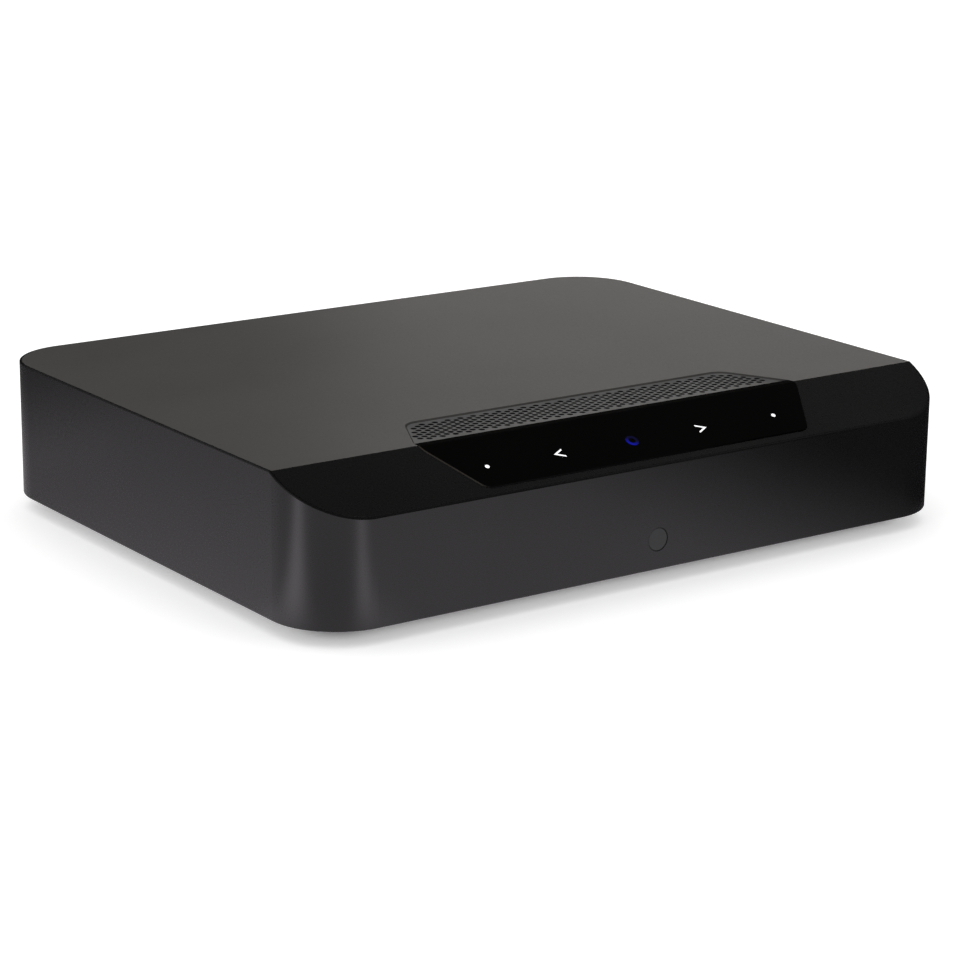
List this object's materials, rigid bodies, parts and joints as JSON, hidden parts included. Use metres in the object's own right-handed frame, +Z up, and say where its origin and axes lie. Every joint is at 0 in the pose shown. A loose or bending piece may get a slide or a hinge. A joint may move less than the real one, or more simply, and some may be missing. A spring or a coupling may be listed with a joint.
{
  "type": "network music streamer",
  "caption": "Low desktop box with rounded corners, a sloped front edge with touch keys, a perforated grille, and speaker posts and sockets at the rear.",
  "frame": {"origin": "below the middle of the whole object, on the surface that its feet stand on", "axes": "+X to the right along the front, +Y from the front towards the sockets at the rear, +Z up"},
  "size_m": [0.219, 0.193, 0.044],
  "materials": {
    "shell": "fine satin, moulded black plastic",
    "top": "satin warm grey paint over moulded plastic",
    "bezel": "smooth black, half gloss",
    "cover": "deep gloss black, clear over black print",
    "icon": "white print lit from behind",
    "status_light": "blue light ring",
    "mesh": "dark grey painted perforated steel",
    "black_plastic": "plain moulded black",
    "panel": "fine texture black powder coat",
    "ir": "infrared-clear dark lens",
    "rubber": "soft matte",
    "screw": "black oxide steel",
    "nickel": "nickel plate",
    "gold": "gold plated brass",
    "copper": "tinned copper strip",
    "knob_red": "clear red over moulded red",
    "knob_black": "moulded black",
    "circuit_board": "green solder mask",
    "chip": "moulded black epoxy",
    "shield": "tinned steel can",
    "aluminium": "plain extruded",
    "ferrite": "sintered dark grey",
    "tape": "yellow insulating tape",
    "sleeve": "dark blue shrink sleeve",
    "fuse": "glass tube with plated caps",
    "clear_sheet": "milky polyester sheet",
    "wire": "black insulated wire",
    "ribbon": "white flat flexible cable",
    "plug": "natural nylon"
  },
  "bodies": {
    "root": {"housing_shell": "shell", "top_panel": "top", "sloped_bezel": "bezel", "touch_cover": "cover", "mesh_grille": "mesh", "grille_tray": "black_plastic", "touch_icons": "icon", "status_light_ring": "status_light", "touch_board": "circuit_board", "touch_lights": "icon", "ir_window": "ir", "ir_receiver": "chip", "base_plate": "black_plastic", "base_screws": "screw", "rubber_feet": "rubber", "wall_mount_inserts": "gold", "insulation_sheet": "clear_sheet", "rear_panel": "panel", "rear_panel_screws": "screw", "mains_inlet": "black_plastic", "mains_pins": "nickel", "ethernet_jack": "shield", "ethernet_contacts": "gold", "hdmi_socket": "nickel", "usb_socket": "nickel", "socket_tongues": "black_plastic", "analog_jack": "black_plastic", "subwoofer_jack": "gold", "subwoofer_insulator": "black_plastic", "terminal_block": "black_plastic", "post_studs": "gold", "post_nuts": "nickel", "post_tags": "copper", "main_board": "circuit_board", "power_board": "circuit_board", "board_screws": "nickel", "processor_shield": "shield", "processor_heatsink": "aluminium", "wireless_module": "shield", "aerials": "circuit_board", "aerial_leads": "wire", "mains_filter": "ferrite", "mains_fuse": "fuse", "capacitors": "sleeve", "transformer_core": "ferrite", "transformer_winding": "tape", "amplifier_chip": "chip", "amplifier_heatsink": "aluminium", "output_inductors": "ferrite", "board_plugs": "plug", "link_wires": "wire", "ribbon_cable": "ribbon"},
    "washer_1": {"post_washer_1": "gold"},
    "knob_1": {"post_knob_1": "knob_red"},
    "washer_2": {"post_washer_2": "gold"},
    "knob_2": {"post_knob_2": "knob_black"},
    "washer_3": {"post_washer_3": "gold"},
    "knob_3": {"post_knob_3": "knob_red"},
    "washer_4": {"post_washer_4": "gold"},
    "knob_4": {"post_knob_4": "knob_black"}
  },
  "joints": [
    {"name": "post_1_slide", "type": "slide", "parent": "root", "child": "washer_1", "axis": [0, 1, 0], "range_m": [0, 0.004]},
    {"name": "post_1_turn", "type": "hinge", "parent": "washer_1", "child": "knob_1", "pos_m": [-0.02015, 0.0785, 0.0164], "axis": [0, 1, 0], "range_deg": [0, 1800]},
    {"name": "post_2_slide", "type": "slide", "parent": "root", "child": "washer_2", "axis": [0, 1, 0], "range_m": [0, 0.004]},
    {"name": "post_2_turn", "type": "hinge", "parent": "washer_2", "child": "knob_2", "pos_m": [-0.0392, 0.0785, 0.0164], "axis": [0, 1, 0], "range_deg": [0, 1800]},
    {"name": "post_3_slide", "type": "slide", "parent": "root", "child": "washer_3", "axis": [0, 1, 0], "range_m": [0, 0.004]},
    {"name": "post_3_turn", "type": "hinge", "parent": "washer_3", "child": "knob_3", "pos_m": [-0.02015, 0.0785, 0.0319], "axis": [0, 1, 0], "range_deg": [0, 1800]},
    {"name": "post_4_slide", "type": "slide", "parent": "root", "child": "washer_4", "axis": [0, 1, 0], "range_m": [0, 0.004]},
    {"name": "post_4_turn", "type": "hinge", "parent": "washer_4", "child": "knob_4", "pos_m": [-0.0392, 0.0785, 0.0319], "axis": [0, 1, 0], "range_deg": [0, 1800]}
  ],
  "couplings": [
    {"joint": "post_1_turn", "follows": "post_1_slide", "rad_per_m": 7854},
    {"joint": "post_2_turn", "follows": "post_2_slide", "rad_per_m": 7854},
    {"joint": "post_3_turn", "follows": "post_3_slide", "rad_per_m": 7854},
    {"joint": "post_4_turn", "follows": "post_4_slide", "rad_per_m": 7854}
  ]
}
